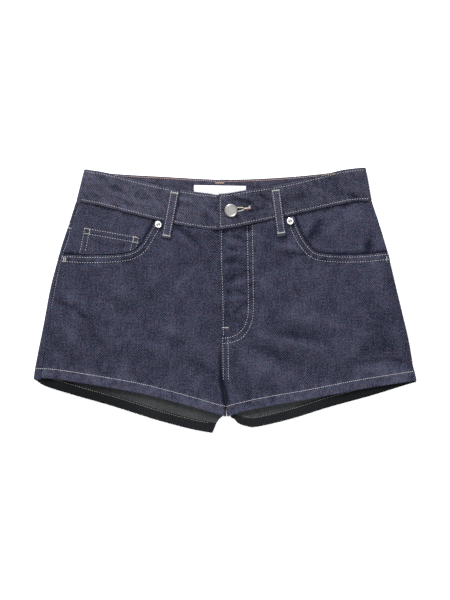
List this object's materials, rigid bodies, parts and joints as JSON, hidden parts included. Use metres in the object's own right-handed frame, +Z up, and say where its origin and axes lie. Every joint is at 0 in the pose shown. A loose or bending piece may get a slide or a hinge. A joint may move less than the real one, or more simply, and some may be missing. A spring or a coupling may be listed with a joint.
{
  "type": "denim shorts laid flat",
  "caption": "Very short denim shorts laid flat front up, buttoned, with scooped front pockets, coin pocket, belt loops, rivets and turned-up hems.",
  "frame": {"origin": "on the surface the shorts lie on, under the middle of their outline", "axes": "+X across the garment towards the wearer's left side, +Y towards the waist, +Z up off the surface"},
  "size_m": [0.4874, 0.337, 0.0134],
  "materials": {
    "denim": "raw indigo twill, matt",
    "denim_wrong_side": "grey twill, matt",
    "pocketing": "plain cotton, matt",
    "label_cloth": "white satin weave, bare",
    "bright_steel": "satin nickel",
    "zip_metal": "worn metal"
  },
  "bodies": {
    "root": {"front_right": "denim", "front_left": "denim", "back_right": "denim", "back_left": "denim", "yoke_right": "denim", "yoke_left": "denim", "waistband": "denim", "pocket_facing_right": "denim", "pocket_facing_left": "denim", "coin_pocket": "denim", "pocket_bag_right": "pocketing", "pocket_bag_left": "pocketing", "back_pocket_right": "denim", "back_pocket_left": "denim", "fly_shield": "denim_wrong_side", "zip": "zip_metal", "belt_loop_front_right": "denim", "belt_loop_front_left": "denim", "belt_loop_back_right": "denim", "belt_loop_back_centre": "denim", "belt_loop_back_left": "denim", "button": "bright_steel", "rivet_right": "bright_steel", "rivet_left": "bright_steel", "label": "label_cloth"}
  },
  "joints": []
}
